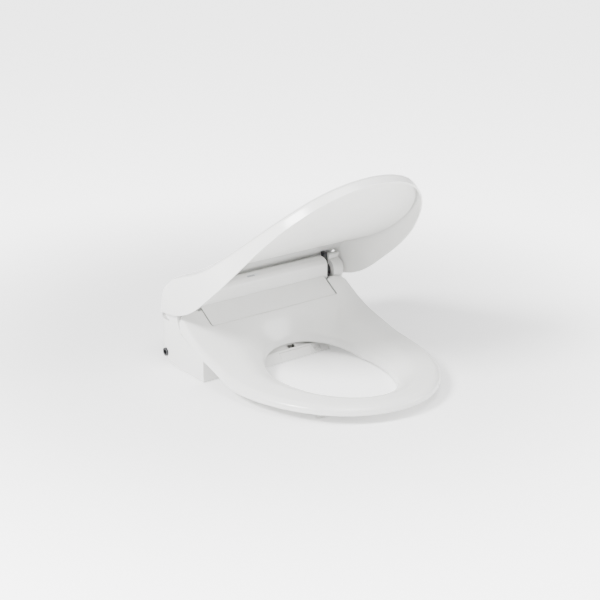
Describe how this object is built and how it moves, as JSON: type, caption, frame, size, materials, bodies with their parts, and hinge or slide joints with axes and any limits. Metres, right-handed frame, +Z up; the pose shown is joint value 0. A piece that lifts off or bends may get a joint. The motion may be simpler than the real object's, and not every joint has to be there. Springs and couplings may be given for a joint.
{
  "type": "electric bidet seat",
  "caption": "Electric bidet toilet seat: heated ring seat and lid hinged on a washing unit with a retracting spray nozzle, on a quick-release mounting plate.",
  "frame": {"origin": "midway between the bowl's two seat bolts, on the bowl's deck, at the mounting plate's underside", "axes": "+Z up, -Y towards the front of the seat, +X to the right for someone facing the seat from the front"},
  "size_m": [0.3924, 0.4895, 0.3883],
  "materials": {
    "base_tray": "fine matt grain",
    "circuit_board": "green board",
    "cord_gland": "soft, matt",
    "deodoriser_cartridge": "matt moulded plastic",
    "deodoriser_grille": "ribbed, matt",
    "dryer_fan": "black moulded plastic",
    "fan_duct": "black moulded plastic",
    "front_panel": "glossy moulded plastic",
    "heater_tank": "matt moulded plastic",
    "hinge_pin_left": "polished",
    "hinge_pin_right": "polished",
    "indicator_window": "frosted",
    "inlet_valve": "black moulded plastic",
    "lid_damper": "black moulded plastic",
    "lid_hinge_arm_left": "glossy moulded plastic",
    "lid_hinge_arm_right": "glossy moulded plastic",
    "lid_liner": "fine matt grain",
    "lid_shell": "glossy moulded plastic",
    "mounting_plate": "matt moulded plastic",
    "nozzle_guide": "matt moulded plastic",
    "nozzle_housing": "glossy moulded plastic",
    "nozzle_motor": "black moulded plastic",
    "nozzle_shutter": "glossy moulded plastic",
    "nozzle_tip": "glossy moulded plastic",
    "nozzle_tube": "polished",
    "release_button": "glossy moulded plastic",
    "seat_bottom_shell": "fine matt grain",
    "seat_damper": "black moulded plastic",
    "seat_foot_1": "soft, matt",
    "seat_foot_2": "soft, matt",
    "seat_foot_3": "soft, matt",
    "seat_foot_4": "soft, matt",
    "seat_heater_sheet": "foil",
    "seat_hinge_arm_left": "glossy moulded plastic",
    "seat_hinge_arm_right": "glossy moulded plastic",
    "seat_top_shell": "glossy moulded plastic",
    "sensor_window": "translucent, polished",
    "side_cover_left": "glossy moulded plastic",
    "side_cover_right": "glossy moulded plastic",
    "top_cover": "glossy moulded plastic",
    "tray_screw_1": "polished",
    "tray_screw_2": "polished",
    "tray_screw_3": "polished",
    "tray_screw_4": "polished",
    "water_inlet": "glossy moulded plastic"
  },
  "bodies": {
    "plate": {"mounting_plate": "mounting_plate"},
    "washing_unit": {"base_tray": "base_tray", "circuit_board": "circuit_board", "cord_gland": "cord_gland", "deodoriser_cartridge": "deodoriser_cartridge", "deodoriser_grille": "deodoriser_grille", "dryer_fan": "dryer_fan", "fan_duct": "fan_duct", "front_panel": "front_panel", "heater_tank": "heater_tank", "hinge_pin_left": "hinge_pin_left", "hinge_pin_right": "hinge_pin_right", "indicator_window": "indicator_window", "inlet_valve": "inlet_valve", "lid_damper": "lid_damper", "nozzle_guide": "nozzle_guide", "nozzle_housing": "nozzle_housing", "nozzle_motor": "nozzle_motor", "seat_damper": "seat_damper", "sensor_window": "sensor_window", "side_cover_left": "side_cover_left", "side_cover_right": "side_cover_right", "top_cover": "top_cover", "tray_screw_1": "tray_screw_1", "tray_screw_2": "tray_screw_2", "tray_screw_3": "tray_screw_3", "tray_screw_4": "tray_screw_4", "water_inlet": "water_inlet"},
    "seat": {"seat_bottom_shell": "seat_bottom_shell", "seat_foot_1": "seat_foot_1", "seat_foot_2": "seat_foot_2", "seat_foot_3": "seat_foot_3", "seat_foot_4": "seat_foot_4", "seat_heater_sheet": "seat_heater_sheet", "seat_hinge_arm_left": "seat_hinge_arm_left", "seat_hinge_arm_right": "seat_hinge_arm_right", "seat_top_shell": "seat_top_shell"},
    "lid": {"lid_hinge_arm_left": "lid_hinge_arm_left", "lid_hinge_arm_right": "lid_hinge_arm_right", "lid_liner": "lid_liner", "lid_shell": "lid_shell"},
    "nozzle": {"nozzle_tip": "nozzle_tip", "nozzle_tube": "nozzle_tube"},
    "shutter": {"nozzle_shutter": "nozzle_shutter"},
    "button": {"release_button": "release_button"}
  },
  "joints": [
    {"name": "unit_slide", "type": "slide", "parent": "plate", "child": "washing_unit", "axis": [0, -1, 0], "range_m": [0, 0.04]},
    {"name": "seat_hinge", "type": "hinge", "parent": "washing_unit", "child": "seat", "pos_m": [0, -0.007, 0.113], "axis": [1, 0, 0], "range_deg": [-92, 0]},
    {"name": "lid_hinge", "type": "hinge", "parent": "seat", "child": "lid", "pos_m": [0, -0.007, 0.113], "axis": [-1, 0, 0], "range_deg": [-49, 56]},
    {"name": "nozzle_slide", "type": "slide", "parent": "washing_unit", "child": "nozzle", "axis": [0, -0.9063, -0.4226], "range_m": [0, 0.095]},
    {"name": "shutter_hinge", "type": "hinge", "parent": "washing_unit", "child": "shutter", "pos_m": [0.0105, -0.10562, 0.01397], "axis": [-1, 0, 0], "range_deg": [0, 95.5]},
    {"name": "release_button_press", "type": "slide", "parent": "washing_unit", "child": "button", "axis": [-1, 0, 0], "range_m": [0, 0.004], "stiffness_N_per_m": 300, "springref_m": -0.005}
  ],
  "couplings": [
    {"joint": "shutter_hinge", "follows": "nozzle_slide", "rad_per_m": 17.45}
  ]
}
